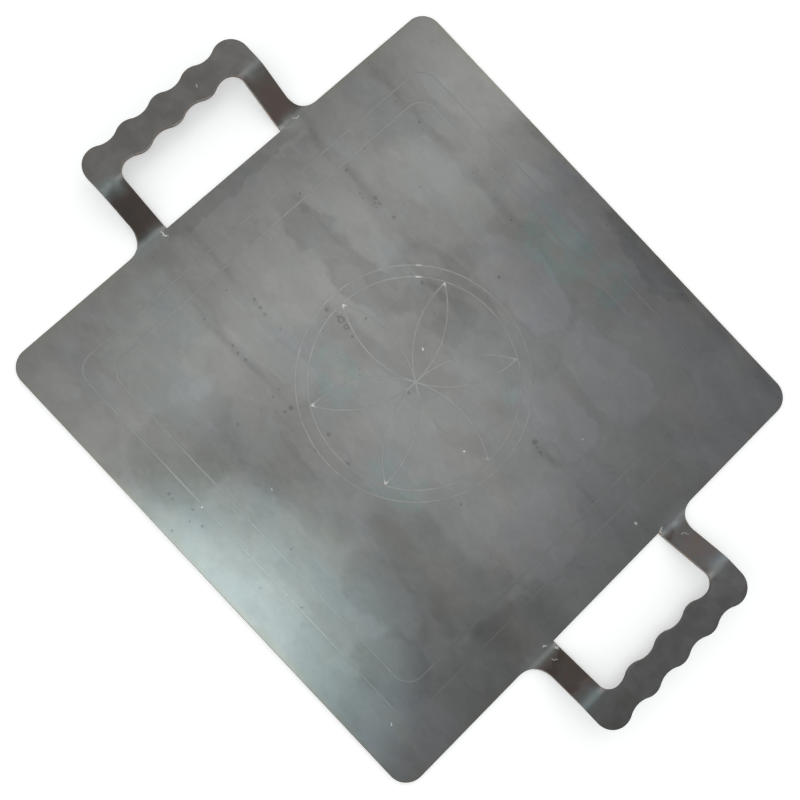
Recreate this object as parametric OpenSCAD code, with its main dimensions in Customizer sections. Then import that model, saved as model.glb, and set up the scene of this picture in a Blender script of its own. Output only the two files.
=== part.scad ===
// Camp griddle plate: a square steel sheet with a raised, finger-notched handle
// at its left and right edges and a compass-drawn rosette engraved on the top.
// The sheet lies flat on z = 0 with the origin under its middle, handles along X.

/* [Sheet] */
// Side of the square cooking plate
plate_side = 350; // [270:1:460]
// Thickness of the steel sheet
sheet_t = 3; // [2:0.25:6]
// Radius of the plate's four corners
plate_corner_r = 13; // [4:0.5:24]

/* [Handle arms] */
// Height of the grip above the plate, top face to top face
grip_rise = 17.3; // [8:0.1:40]
// Slope of the arms between their two bends, in degrees
arm_slope = 28; // [15:1:60]
// Inside radius of every bend
bend_r = 12; // [4:0.5:16]
// Radius of the flare where an arm leaves the plate's edge
root_r = 14; // [4:0.5:30]
// Radius of the hand opening's two outer corners
opening_corner_r = 9; // [4:0.5:12]

/* [Grip] */
// Number of finger notches on each side of the grip
finger_count = 4; // [3:1:5]
// Distance from one finger notch to the next
finger_pitch = 26; // [22:0.5:30]
// Depth of a finger notch
finger_depth = 3.2; // [1.5:0.1:4.5]
// Radius of the rounded lobes between the notches
lobe_r = 12.4; // [10:0.1:14]
// Width of the grip across its lobes
grip_w = 22.2; // [18:0.1:32]
// Flat length between the upper bend and the first lobe
grip_lead = 0.3; // [0.1:0.1:12]

/* [Engraving] */
// Width of an engraved line
line_w = 1.2; // [0.6:0.1:2]
// Depth of an engraved line
line_d = 0.1; // [0.05:0.05:0.8]
// Distance from the plate's edge to the outer border line
border_inset = 28; // [15:0.5:36]
// Distance between the two border lines
border_gap = 14; // [5:0.5:20]
// Corner radius of both border lines
border_r = 12; // [4:0.5:20]
// Radius of the outer circle
ring_r = 75; // [50:0.5:88]
// Distance between the two circles
ring_gap = 7.5; // [3:0.5:15]
// Distance from the inner circle to the tips of the petals
petal_gap = 1; // [0:0.1:3]

/* [Hidden] */
$fn = 96;

// Overlap that carries a cut clean through a face
cut = 1;

// Steel as the sheet, the arms and the grips show it
plate_color = "#7d7f7f";
arm_color = "#4a4542";
grip_color = "#626260";

// Places along X
edge_x = plate_side / 2;
bend_outer_r = bend_r + sheet_t;
bend_drop = (bend_r + bend_outer_r) * (1 - cos(arm_slope));
arm_straight = (grip_rise - bend_drop) / sin(arm_slope);
arm_run = (bend_r + bend_outer_r) * sin(arm_slope) + arm_straight * cos(arm_slope);
grip_x = edge_x + arm_run;
grip_in_x = grip_x + grip_lead;
grip_out_x = grip_in_x + grip_w;
end_x = grip_out_x + cut;

// Places along Y
lobe_span = finger_count * finger_pitch;
notch_span = lobe_span - finger_pitch;
handle_w = lobe_span + 2 * lobe_r;
opening_w = notch_span + 2 * opening_corner_r;
root_w = handle_w + 2 * root_r;

// Radius of the notches, which run into the lobes without a step
notch_r = (pow(finger_pitch / 2, 2) + pow(finger_depth, 2)) / (2 * finger_depth) - lobe_r;

// Radii of the rosette
inner_ring_r = ring_r - ring_gap;
petal_r = inner_ring_r - petal_gap;
petal_count = 6;

// Places along Y of the lobes and of the notches between them
lobe_ys = [for (i = [0 : finger_count]) i * finger_pitch - lobe_span / 2];
notch_ys = [for (i = [0 : finger_count - 1]) i * finger_pitch - notch_span / 2];

// Square with round corners, centred
module rounded_square(side, r) {
  square([side, side - 2 * r], center = true);
  square([side - 2 * r, side], center = true);
  for (x = [-1, 1], y = [-1, 1])
    translate([x, y] * (side / 2 - r)) circle(r);
}

// Line of the engraving's width along a rounded square
module border_line(inset) {
  side = plate_side - 2 * inset;
  difference() {
    rounded_square(side + line_w, border_r + line_w / 2);
    rounded_square(side - line_w, border_r - line_w / 2);
  }
}

// Line of the engraving's width along a circle
module ring_line(r) {
  difference() {
    circle(r + line_w / 2);
    circle(r - line_w / 2);
  }
}

// Six arcs through the middle, each drawn from the tip of a petal
module rosette() {
  intersection() {
    circle(petal_r);
    for (i = [0 : petal_count - 1])
      rotate(i * 360 / petal_count) translate([petal_r, 0]) ring_line(petal_r);
  }
}

module engraving() {
  border_line(border_inset);
  border_line(border_inset + border_gap);
  ring_line(ring_r);
  ring_line(inner_ring_r);
  rosette();
}

// Centres of the lobes and the notches in turn, with some left off at each end
function wave_centres(lobe_x, notch_x, left_off) = [
  for (i = [left_off : 2 * finger_count - left_off])
    [i % 2 == 0 ? lobe_x : notch_x, (i - finger_count) * finger_pitch / 2]
];

// Outer half of the grip: round lobes with a notch for each finger between them
module grip_outer_half() {
  lobe_x = grip_out_x - lobe_r;
  notch_x = grip_out_x - finger_depth + notch_r;
  difference() {
    union() {
      polygon(concat(
        [[grip_x, -handle_w / 2], [lobe_x, -handle_w / 2]],
        wave_centres(lobe_x, notch_x, 0),
        [[lobe_x, handle_w / 2], [grip_x, handle_w / 2]]));
      for (y = lobe_ys) translate([lobe_x, y]) circle(lobe_r);
    }
    for (y = notch_ys) translate([notch_x, y]) circle(notch_r);
  }
}

// Hand opening, with the same notches along the grip's inner side
module hand_opening() {
  lobe_x = grip_in_x + lobe_r;
  notch_end_x = grip_in_x + finger_depth;
  notch_x = notch_end_x - notch_r;
  corner_x = notch_end_x - opening_corner_r;
  translate([edge_x - cut, -opening_w / 2]) square([corner_x - edge_x + cut, opening_w]);
  for (side = [-1, 1])
    translate([corner_x, side * notch_span / 2]) circle(opening_corner_r);
  difference() {
    intersection() {
      translate([edge_x - cut, -notch_span / 2]) square([end_x - edge_x, notch_span]);
      union() {
        polygon(concat(
          [[edge_x, -notch_span / 2]],
          wave_centres(lobe_x, notch_x, 1),
          [[edge_x, notch_span / 2]]));
        for (y = notch_ys) translate([notch_x, y]) circle(notch_r);
      }
    }
    for (y = lobe_ys) translate([lobe_x, y]) circle(lobe_r);
  }
}

// Outline of the right handle seen from above
module handle_outline() {
  difference() {
    union() {
      grip_outer_half();
      translate([edge_x, -handle_w / 2]) square([arm_run + grip_lead, handle_w]);
      difference() {
        translate([edge_x, -root_w / 2]) square([root_r, root_w]);
        for (side = [-1, 1])
          translate([edge_x + root_r, side * root_w / 2]) circle(root_r);
      }
    }
    hand_opening();
  }
}

// Space under the sheet in a side view of an arm, up to a height above the underside
module space_below(height) {
  root_centre = [0, bend_outer_r];
  top_centre = [arm_run, grip_rise - bend_r];
  root_bend = bend_outer_r - height;
  top_bend = bend_r + height;
  across = [sin(arm_slope), -cos(arm_slope)];
  corner = [arm_run - top_bend * tan(arm_slope / 2), grip_rise + height];
  floor_y = -2 * bend_outer_r;
  difference() {
    polygon([
      [0, floor_y], root_centre, root_centre + root_bend * across,
      corner, [arm_run, grip_rise + height], [arm_run, floor_y]
    ]);
    translate(root_centre) circle(root_bend);
    translate(top_centre) difference() {
      polygon([[0, 0], [0, 2 * top_bend], -2 * top_bend * across]);
      circle(top_bend);
    }
  }
}

// Side view of an arm from the plate's edge: up, along the slope, back to level
module arm_profile() {
  difference() {
    space_below(sheet_t);
    space_below(0);
  }
}

// Right rear arm, which the other three mirror
module arm() {
  intersection() {
    translate([edge_x, root_w]) rotate([90, 0, 0]) linear_extrude(root_w) arm_profile();
    linear_extrude(grip_rise + sheet_t + cut) intersection() {
      handle_outline();
      translate([edge_x, 0]) square([arm_run, root_w]);
    }
  }
}

// Right grip, level and raised
module grip() {
  translate([0, 0, grip_rise]) linear_extrude(sheet_t) intersection() {
    handle_outline();
    translate([grip_x, -handle_w]) square([end_x - grip_x, 2 * handle_w]);
  }
}

module cooking_plate() {
  color(plate_color) difference() {
    linear_extrude(sheet_t) rounded_square(plate_side, plate_corner_r);
    translate([0, 0, sheet_t - line_d]) linear_extrude(line_d + cut) engraving();
  }
}

module left_front_arm() {
  color(arm_color) mirror([1, 0, 0]) mirror([0, 1, 0]) arm();
}

module left_rear_arm() {
  color(arm_color) mirror([1, 0, 0]) arm();
}

module left_grip() {
  color(grip_color) mirror([1, 0, 0]) grip();
}

module right_front_arm() {
  color(arm_color) mirror([0, 1, 0]) arm();
}

module right_rear_arm() {
  color(arm_color) arm();
}

module right_grip() {
  color(grip_color) grip();
}

cooking_plate();
left_front_arm();
left_rear_arm();
left_grip();
right_front_arm();
right_rear_arm();
right_grip();
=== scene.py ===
"""Looks of a camp griddle plate: one folded steel sheet with two raised, finger-notched handles.

The sheet is modelled flat, with its cut edges eased, and then folded. It is divided where the
frame divides it: a plate, four arms and two grips. All lengths are in metres.
"""
import logging
import math
from dataclasses import dataclass
from enum import Enum
from typing import Any, Optional, Sequence, Union

import bmesh
import bpy
from mathutils import Matrix, Vector


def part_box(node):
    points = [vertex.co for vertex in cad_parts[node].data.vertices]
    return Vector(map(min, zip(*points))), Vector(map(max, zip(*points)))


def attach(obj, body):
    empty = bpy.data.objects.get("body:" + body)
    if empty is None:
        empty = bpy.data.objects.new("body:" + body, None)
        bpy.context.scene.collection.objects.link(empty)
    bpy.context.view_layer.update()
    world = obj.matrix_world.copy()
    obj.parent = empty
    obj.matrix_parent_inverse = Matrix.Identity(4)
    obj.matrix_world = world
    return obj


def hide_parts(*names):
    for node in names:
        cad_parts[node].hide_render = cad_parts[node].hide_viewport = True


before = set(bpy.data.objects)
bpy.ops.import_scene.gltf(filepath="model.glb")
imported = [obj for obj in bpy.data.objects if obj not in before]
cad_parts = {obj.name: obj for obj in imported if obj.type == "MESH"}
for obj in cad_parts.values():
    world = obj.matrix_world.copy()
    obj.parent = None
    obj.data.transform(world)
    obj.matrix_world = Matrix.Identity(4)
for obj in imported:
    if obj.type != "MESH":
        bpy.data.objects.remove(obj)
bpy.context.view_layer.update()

LOG = logging.getLogger("griddle")
MM = 0.001
Colour = tuple[float, float, float]
Point = tuple[float, float, float]
Key = Union[int, str]
Settings = Optional[dict[str, Any]]
Sockets = Optional[dict[Key, Any]]


class Side(Enum):
    """Handle of the plate, by the sign of its X."""

    LEFT = -1
    RIGHT = 1


class End(Enum):
    """Arm of a handle, by the sign of its Y."""

    FRONT = -1
    REAR = 1


class Face(Enum):
    """Kind of surface on the sheet, by the place of its finish on a piece."""

    SCALE = 0
    CUT = 1
    RIM = 2
    SCORED = 3


class Tint(Enum):
    """Cast that the oxide gives to a patch or next to a cut edge; ASH is the cast of painted light
    on the rear right arm.
    """

    PLAIN = (1.0, 1.0, 1.0)
    TEAL = (0.86, 1.08, 1.05)
    LILAC = (1.0, 0.985, 1.05)
    OLIVE = (1.005, 1.006, 0.978)
    ASH = (0.95, 1.08, 1.19)
    BROWN = (1.01, 0.985, 0.92)


class NodeBench:
    """Builds a node tree from calls that each add one node."""

    def __init__(self, tree: bpy.types.NodeTree) -> None:
        """Starts on a tree.

        Args:
            tree: node tree to add to.
        """
        self.tree = tree

    @staticmethod
    def find(sockets: Any, key: Key) -> bpy.types.NodeSocket:
        """Finds a socket by its place, identifier or name.

        Args:
            sockets: inputs or outputs of a node.
            key: place, identifier or name.

        Returns:
            The socket.
        """
        if isinstance(key, str):
            for socket in sockets:
                if socket.identifier == key:
                    return socket
        return sockets[key]

    def add(self, kind: str, settings: Settings = None, sockets: Sockets = None) -> bpy.types.Node:
        """Adds one node, sets its settings, then its sockets.

        Args:
            kind: type of the node.
            settings: its properties.
            sockets: values or links of its inputs; a list feeds several links to one input.

        Returns:
            The node.
        """
        node = self.tree.nodes.new(kind)
        for name, value in (settings or {}).items():
            setattr(node, name, value)
        for key, value in (sockets or {}).items():
            socket = self.find(node.inputs, key)
            for one in value if isinstance(value, list) else [value]:
                self._feed(socket, one)
        return node

    def _feed(self, socket: bpy.types.NodeSocket, value: Any) -> None:
        """Links a socket to a source, or sets its value."""
        source = value.socket if isinstance(value, Sock) else value
        if isinstance(source, bpy.types.NodeSocket):
            self.tree.links.new(source, socket)
        elif socket.type == "RGBA" and len(source) == 3:
            socket.default_value = (*source, 1.0)
        else:
            socket.default_value = source


class Sock:
    """Number or colour on a surface, which takes part in Python arithmetic."""

    def __init__(self, shop: "FinishShop", socket: bpy.types.NodeSocket) -> None:
        """Wraps a socket.

        Args:
            shop: what adds the nodes of an expression.
            socket: output that gives the value.
        """
        self.shop = shop
        self.socket = socket

    def _maths(self, operation: str, first: Any, second: Any) -> "Sock":
        """Adds the Math node of one operation."""
        return self.shop.make("ShaderNodeMath", {"operation": operation}, {0: first, 1: second})

    def __add__(self, other: Any) -> "Sock":
        """Sum."""
        return self._maths("ADD", self, other)

    def __radd__(self, other: Any) -> "Sock":
        """Sum, from the right."""
        return self._maths("ADD", other, self)

    def __sub__(self, other: Any) -> "Sock":
        """Difference."""
        return self._maths("SUBTRACT", self, other)

    def __rsub__(self, other: Any) -> "Sock":
        """Difference, from the right."""
        return self._maths("SUBTRACT", other, self)

    def __mul__(self, other: Any) -> "Sock":
        """Product."""
        return self._maths("MULTIPLY", self, other)

    def __rmul__(self, other: Any) -> "Sock":
        """Product, from the right."""
        return self._maths("MULTIPLY", other, self)

    def __truediv__(self, other: Any) -> "Sock":
        """Quotient."""
        return self._maths("DIVIDE", self, other)

    def __rtruediv__(self, other: Any) -> "Sock":
        """Quotient, from the right."""
        return self._maths("DIVIDE", other, self)

    def __pow__(self, other: Any) -> "Sock":
        """Power."""
        return self._maths("POWER", self, other)

    def __rpow__(self, other: Any) -> "Sock":
        """Power, from the right."""
        return self._maths("POWER", other, self)

    def __abs__(self) -> "Sock":
        """Size without the sign."""
        return self._maths("ABSOLUTE", self, 0.0)

    def either(self, other: Any) -> "Sock":
        """Larger of two."""
        return self._maths("MAXIMUM", self, other)

    def rise(self, low: float, high: float) -> "Sock":
        """Smooth step from 0 at low to 1 at high.

        Args:
            low: value where the step starts.
            high: value where it ends; less than low for a falling step.

        Returns:
            The step, from 0 to 1.
        """
        return self.shop.make(
            "ShaderNodeMapRange", {"interpolation_type": "SMOOTHSTEP"},
            {"Value": self, "From Min": low, "From Max": high})

    def near(self, middle: float, half_width: float) -> "Sock":
        """Soft band that is 1 at middle and 0 half_width away from it."""
        return abs(self - middle).rise(half_width, 0.0)


class FinishShop(NodeBench):
    """Builds the node tree of one finish, of a lamp or of the world's light."""

    @classmethod
    def finish(cls, name: str) -> tuple[bpy.types.Material, "FinishShop", bpy.types.Node]:
        """Starts a finish.

        Args:
            name: name of the material.

        Returns:
            The material, what builds its nodes, and its shader.
        """
        made = bpy.data.materials.new(name)
        made.use_nodes = True
        return made, cls(made.node_tree), made.node_tree.nodes["Principled BSDF"]

    def link(self, node: bpy.types.Node, sources: dict[str, Sock]) -> None:
        """Feeds inputs of a node that the tree already has.

        Args:
            node: shader or other node.
            sources: values by the names of its inputs.
        """
        for name, source in sources.items():
            self.tree.links.new(source.socket, node.inputs[name])

    def make(self, kind: str, settings: Settings = None, sockets: Sockets = None,
             out: Key = 0) -> Sock:
        """Adds one node and wraps one of its outputs.

        Args:
            kind: type of the node.
            settings: its properties.
            sockets: values or links of its inputs.
            out: place or identifier of the output.

        Returns:
            The wrapped output.
        """
        node = self.add(kind, settings, sockets)
        return Sock(self, self.find(node.outputs, out))

    def place(self) -> Sock:
        """Place on the piece, which is its place in the frame."""
        return self.make("ShaderNodeTexCoord", out="Object")

    def axes(self, vector: Sock) -> tuple[Sock, Sock, Sock]:
        """X, Y and Z of a vector."""
        node = self.add("ShaderNodeSeparateXYZ", None, {0: vector})
        x, y, z = (Sock(self, output) for output in node.outputs)
        return x, y, z

    def noise(self, vector: Sock, sizes: Point, detail: float = 2.0, coarse: float = 0.5,
              warp: float = 0.0, shift: float = 0.0) -> Sock:
        """Noise whose patches have given lengths along X, Y and Z.

        Args:
            vector: place on the piece.
            sizes: lengths of a patch along the three axes.
            detail: number of finer layers.
            coarse: strength of the finer layers.
            warp: how far the patches are bent out of shape.
            shift: moves the pattern, so that two of them differ.

        Returns:
            Value around 0.5.
        """
        scaled = self.make(
            "ShaderNodeMapping", None,
            {"Vector": vector, "Location": (shift, shift, shift),
             "Scale": tuple(1.0 / size for size in sizes)})
        return self.make(
            "ShaderNodeTexNoise", {"noise_dimensions": "3D"},
            {"Vector": scaled, "Scale": 1.0, "Detail": detail, "Roughness": coarse,
             "Distortion": warp}, out="Fac")

    def wander(self, vector: Sock, size: float, reach: float) -> Sock:
        """Moves places about, so that what is drawn on them gets uneven outlines.

        Args:
            vector: place on the piece.
            size: length of a bend in an outline.
            reach: distance across which a place may move.

        Returns:
            The moved places.
        """
        drift = self.make(
            "ShaderNodeTexNoise", {"noise_dimensions": "3D"},
            {"Vector": vector, "Scale": 1.0 / size, "Detail": 3.0, "Roughness": 0.55}, out="Color")
        centred = self.make("ShaderNodeVectorMath", {"operation": "SUBTRACT"},
                            {0: drift, 1: (0.5, 0.5, 0.5)})
        return self.make("ShaderNodeVectorMath", {"operation": "MULTIPLY_ADD"},
                         {0: centred, 1: (reach, reach, reach), 2: vector})

    def specks(self, vector: Sock, spacing: float, radius: float, share: float,
               shift: float = 0.0) -> Sock:
        """Round specks scattered over the surface.

        Args:
            vector: place on the piece.
            spacing: mean distance between the places where a speck may lie.
            radius: radius of the largest speck.
            share: share of those places that has one.
            shift: moves the pattern, so that two of them differ.

        Returns:
            1 inside a speck and 0 outside.
        """
        scaled = self.make(
            "ShaderNodeMapping", None,
            {"Vector": vector, "Location": (shift, shift, shift),
             "Scale": (1.0 / spacing, 1.0 / spacing, 1.0 / spacing)})
        cells = self.add("ShaderNodeTexVoronoi", {"voronoi_dimensions": "3D", "feature": "F1"},
                         {"Vector": scaled, "Scale": 1.0})
        distance = Sock(self, self.find(cells.outputs, "Distance"))
        draw, size, _ = self.axes(Sock(self, self.find(cells.outputs, "Color")))
        reach = radius / spacing * (0.35 + 0.65 * size)
        return (distance / reach).rise(1.0, 0.55) * draw.rise(1.0 - share, 1.0 - share + 0.01)

    def mix(self, factor: Any, first: Any, second: Any, blend: str = "MIX") -> Sock:
        """Mixes two colours.

        Args:
            factor: share of the second colour.
            first: colour at 0.
            second: colour at 1.
            blend: how they are mixed.

        Returns:
            The mixed colour.
        """
        return self.make(
            "ShaderNodeMix", {"data_type": "RGBA", "blend_type": blend, "clamp_factor": True},
            {"Factor_Float": factor, "A_Color": first, "B_Color": second}, out="Result_Color")

    def seen(self) -> Sock:
        """1 for what the camera sees, straight or in a shiny or clear surface, and else 0."""
        rays = self.add("ShaderNodeLightPath")
        camera, glossy, through = (
            Sock(self, self.find(rays.outputs, name))
            for name in ("Is Camera Ray", "Is Glossy Ray", "Is Transmission Ray"))
        return camera.either(glossy).either(through)

    def grey(self, value: Sock) -> Sock:
        """Colour with a value in all three channels."""
        return self.make("ShaderNodeCombineColor", None, {0: value, 1: value, 2: value})

    def bump(self, height: Sock, depth: float, under: Optional[Sock] = None) -> Sock:
        """Turns a height into a normal.

        Args:
            height: height from 0 to 1.
            depth: what a height of 1 stands for.
            under: normal that the new one is laid on.

        Returns:
            The normal.
        """
        sockets: dict[Key, Any] = {"Height": height, "Distance": depth, "Strength": 1.0}
        if under is not None:
            sockets["Normal"] = under
        return self.make("ShaderNodeBump", None, sockets)


class GeometryTree(NodeBench):
    """Geometry Nodes tree with named inputs, applied to a piece and then removed."""

    def __init__(self, name: str) -> None:
        """Makes an empty tree.

        Args:
            name: name of the tree.
        """
        super().__init__(bpy.data.node_groups.new(name, "GeometryNodeTree"))
        for way in ("INPUT", "OUTPUT"):
            self.tree.interface.new_socket(
                "Geometry", in_out=way, socket_type="NodeSocketGeometry")
        self.inlet = self.tree.nodes.new("NodeGroupInput")
        self.outlet = self.tree.nodes.new("NodeGroupOutput")
        self.values: dict[str, Any] = {}

    def get(self, kind: str, settings: Settings = None, sockets: Sockets = None,
            out: Key = 0) -> bpy.types.NodeSocket:
        """Adds one node and gives one of its outputs.

        Args:
            kind: type of the node.
            settings: its properties.
            sockets: values or links of its inputs.
            out: place or identifier of the output.

        Returns:
            The output.
        """
        return self.find(self.add(kind, settings, sockets).outputs, out)

    def given(self, name: str, value: Any) -> bpy.types.NodeSocket:
        """Adds a named input to the tree.

        Args:
            name: name of the input.
            value: number, whole number or material that the piece sets it to.

        Returns:
            The input, as a source of links.
        """
        kinds = {int: "NodeSocketInt", float: "NodeSocketFloat",
                 bpy.types.Material: "NodeSocketMaterial"}
        socket = self.tree.interface.new_socket(
            name, in_out="INPUT", socket_type=kinds[type(value)])
        self.values[socket.identifier] = value
        return self.find(self.inlet.outputs, socket.identifier)

    def maths(self, operation: str, first: Any, second: Any) -> bpy.types.NodeSocket:
        """Adds the Math node of one operation."""
        return self.get("ShaderNodeMath", {"operation": operation}, {0: first, 1: second})

    def end(self, geometry: bpy.types.NodeSocket, material: Any,
            selection: Optional[bpy.types.NodeSocket] = None) -> None:
        """Ends the tree in Realize Instances and Set Material.

        Args:
            geometry: what the tree has made.
            material: finish of the selected faces.
            selection: faces that get it, or all of them.
        """
        real = self.get("GeometryNodeRealizeInstances", None, {"Geometry": geometry})
        sockets: dict[Key, Any] = {"Geometry": real, "Material": material}
        if selection is not None:
            sockets["Selection"] = selection
        dressed = self.get("GeometryNodeSetMaterial", None, sockets)
        self.tree.links.new(dressed, self.outlet.inputs[0])

    def apply(self, piece: bpy.types.Object) -> None:
        """Runs the tree on a piece and leaves the result as a plain mesh.

        Args:
            piece: mesh object whose mesh is replaced.
        """
        modifier = piece.modifiers.new(self.tree.name, "NODES")
        modifier.node_group = self.tree
        for identifier, value in self.values.items():
            modifier[identifier] = value
        depsgraph = bpy.context.evaluated_depsgraph_get()
        made = bpy.data.meshes.new_from_object(piece.evaluated_get(depsgraph), depsgraph=depsgraph)
        piece.modifiers.remove(modifier)
        old, piece.data = piece.data, made
        made.name = piece.name
        bpy.data.meshes.remove(old)


@dataclass(frozen=True)
class RimPoint:
    """Point of the sheet's outline seen from above, for the rear right quarter or a mirror of it.

    in_x and in_y say how far the point moves into the steel for each unit of inset.
    """

    x: float
    y: float
    in_x: float
    in_y: float

    def mirrored(self, side: Side, end: End) -> "RimPoint":
        """Same point in another quarter of the sheet."""
        sx, sy = side.value, end.value
        return RimPoint(sx * self.x, sy * self.y, sx * self.in_x, sy * self.in_y)


@dataclass(frozen=True)
class SheetSizes:
    """Sizes of the sheet; the first seven are read off the frame."""

    edge_x: float
    thickness: float
    grip_x: float
    rise: float
    root_half: float
    handle_half: float
    grip_out_x: float
    corner_r: float = 13.0 * MM
    slope: float = math.radians(28.0)
    bend_r: float = 12.0 * MM
    opening_corner_r: float = 9.0 * MM
    finger_count: int = 4
    finger_pitch: float = 26.0 * MM
    finger_depth: float = 3.2 * MM
    lobe_r: float = 12.4 * MM
    grip_lead: float = 0.3 * MM
    rim_r: float = 0.32 * MM
    rim_flat: float = 0.4 * MM
    rim_steps: int = 4
    arc_step: float = math.radians(5.0)
    station_steps: int = 12
    station_gap: float = 0.2 * MM
    # The arms start a hair outside the edge, so that the cut isn't in the edge's own face
    arm_start: float = 0.05 * MM

    @classmethod
    def from_frame(cls) -> "SheetSizes":
        """Reads the driving sizes off the frame's boxes."""
        plate_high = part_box("cooking_plate")[1]
        arm_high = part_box("right_rear_arm")[1]
        grip_low, grip_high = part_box("right_grip")
        return cls(
            edge_x=plate_high.x, thickness=plate_high.z, grip_x=grip_low.x, rise=grip_low.z,
            root_half=arm_high.y, handle_half=grip_high.y, grip_out_x=grip_high.x)

    @property
    def root_r(self) -> float:
        """Radius of the flare where an arm leaves the plate."""
        return self.root_half - self.handle_half

    @property
    def lobe_span(self) -> float:
        """Distance from the first lobe to the last."""
        return self.finger_count * self.finger_pitch

    @property
    def notch_half(self) -> float:
        """Distance from the middle to the last notch."""
        return (self.lobe_span - self.finger_pitch) / 2

    @property
    def opening_half(self) -> float:
        """Half the width of the hand opening."""
        return self.notch_half + self.opening_corner_r

    @property
    def notch_r(self) -> float:
        """Radius of the notches, which run into the lobes without a step."""
        half = self.finger_pitch / 2
        return (half ** 2 + self.finger_depth ** 2) / (2 * self.finger_depth) - self.lobe_r

    @property
    def wave_angle(self) -> float:
        """Half the angle that a lobe or a notch takes up."""
        return math.asin(self.finger_pitch / 2 / (self.lobe_r + self.notch_r))

    @property
    def notch_end_x(self) -> float:
        """Deepest X of the notches on the grip's inner side."""
        return self.grip_x + self.grip_lead + self.finger_depth

    @property
    def opening_corner_x(self) -> float:
        """X of the centre of the hand opening's corner."""
        return self.notch_end_x - self.opening_corner_r


class Outline:
    """Outline of the rear right quarter of the sheet, seen from above and divided at the bends."""

    def __init__(self, sizes: SheetSizes) -> None:
        """Works out the runs of the outline.

        Args:
            sizes: sizes of the sheet.
        """
        self.sizes = sizes
        self.stations = self._stations()
        self.arm_outer = [self._outer_at(x) for x in self.stations]
        self.arm_inner = [self._inner_at(x) for x in self.stations]
        self.plate_outer = self._plate_outer()
        self.plate_opening = [
            RimPoint(sizes.edge_x, sizes.opening_half, -1.0, 1.0), self.arm_inner[0]]
        self.grip_outer = self._grip_outer()
        self.grip_inner = self._grip_inner()

    def arc(self, centre: tuple[float, float], radius: float, start: float, stop: float,
            round_out: bool) -> list[RimPoint]:
        """Samples an arc of the outline.

        Args:
            centre: X and Y of its centre.
            radius: its radius.
            start: angle of its first point.
            stop: angle of its last point.
            round_out: True where the steel is on the side of the centre.

        Returns:
            Its points.
        """
        count = max(2, math.ceil(abs(stop - start) / self.sizes.arc_step))
        inward = -1.0 if round_out else 1.0
        points = []
        for i in range(count + 1):
            angle = start + (stop - start) * i / count
            c, s = math.cos(angle), math.sin(angle)
            points.append(RimPoint(
                centre[0] + radius * c, centre[1] + radius * s, inward * c, inward * s))
        return points

    def _stations(self) -> list[float]:
        """Places along X where an arm's rim and its two bends need a point."""
        s = self.sizes
        start, stop = s.edge_x + s.arm_start, s.grip_x
        bend = (s.bend_r + s.thickness / 2) * math.sin(s.slope)
        turn = math.asin((stop - s.opening_corner_x) / s.opening_corner_r)
        found = {start, stop}
        for i in range(s.station_steps + 1):
            part = i / s.station_steps
            found.add(s.edge_x + s.root_r * (1 - math.cos(part * math.pi / 2)))
            found.add(s.opening_corner_x + s.opening_corner_r * math.sin(part * turn))
            found.add(s.edge_x + bend * part)
            found.add(stop - bend * part)
            found.add(s.edge_x + (stop - s.edge_x) * part)
        places = [start]
        for x in sorted(found):
            if places[-1] + s.station_gap < x < stop - s.station_gap:
                places.append(x)
        return [*places, stop]

    def _outer_at(self, x: float) -> RimPoint:
        """Outer rim of the arm at a place along X."""
        s = self.sizes
        left = s.edge_x + s.root_r - x
        if left <= 0:
            return RimPoint(x, s.handle_half, 0.0, -1.0)
        c = left / s.root_r
        sine = math.sqrt(1 - c * c)
        return RimPoint(x, s.root_half - s.root_r * sine, -c, -sine)

    def _inner_at(self, x: float) -> RimPoint:
        """Rim of the hand opening at a place along X."""
        s = self.sizes
        sine = (x - s.opening_corner_x) / s.opening_corner_r
        if sine <= 0:
            return RimPoint(x, s.opening_half, 0.0, 1.0)
        c = math.sqrt(1 - sine * sine)
        return RimPoint(x, s.notch_half + s.opening_corner_r * c, sine, c)

    def _plate_outer(self) -> list[RimPoint]:
        """Plate's corner and the start of the flare."""
        s = self.sizes
        centre = s.edge_x - s.corner_r
        corner = self.arc((centre, centre), s.corner_r, math.pi / 2, 0.0, True)
        return [*corner, RimPoint(s.edge_x, s.root_half, -1.0, 0.0), self.arm_outer[0]]

    def _grip_outer(self) -> list[RimPoint]:
        """Outer side of the grip, from the arm to the middle lobe."""
        s = self.sizes
        lobe_x = s.grip_out_x - s.lobe_r
        notch_x = s.grip_out_x - s.finger_depth + s.notch_r
        half = s.lobe_span / 2
        wave = s.wave_angle
        run = [self.arm_outer[-1], *self.arc((lobe_x, half), s.lobe_r, math.pi / 2, -wave, True)]
        for i in range(1, s.finger_count + 1):
            y = half - i * s.finger_pitch / 2
            if i % 2:
                arc = self.arc((notch_x, y), s.notch_r, math.pi - wave, math.pi + wave, False)
            else:
                arc = self.arc((lobe_x, y), s.lobe_r, wave, -wave if y > MM else 0.0, True)
            run += arc[1:]
        return run

    def _grip_inner(self) -> list[RimPoint]:
        """Inner side of the grip, from the arm to the middle lobe."""
        s = self.sizes
        lobe_x = s.grip_x + s.grip_lead + s.lobe_r
        notch_x = s.notch_end_x - s.notch_r
        wave = s.wave_angle
        first = self.arm_inner[-1]
        start = math.atan2(first.y - s.notch_half, first.x - s.opening_corner_x)
        run = self.arc((s.opening_corner_x, s.notch_half), s.opening_corner_r, start, 0.0, False)
        for i in range(s.finger_count):
            y = s.notch_half - i * s.finger_pitch / 2
            if i % 2:
                arc = self.arc((lobe_x, y), s.lobe_r, math.pi - wave,
                               math.pi + (wave if y > MM else 0.0), True)
            else:
                arc = self.arc((notch_x, y), s.notch_r, wave if i else 0.0, -wave, False)
            run += arc[1:]
        return [first, *run[1:]]


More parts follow.
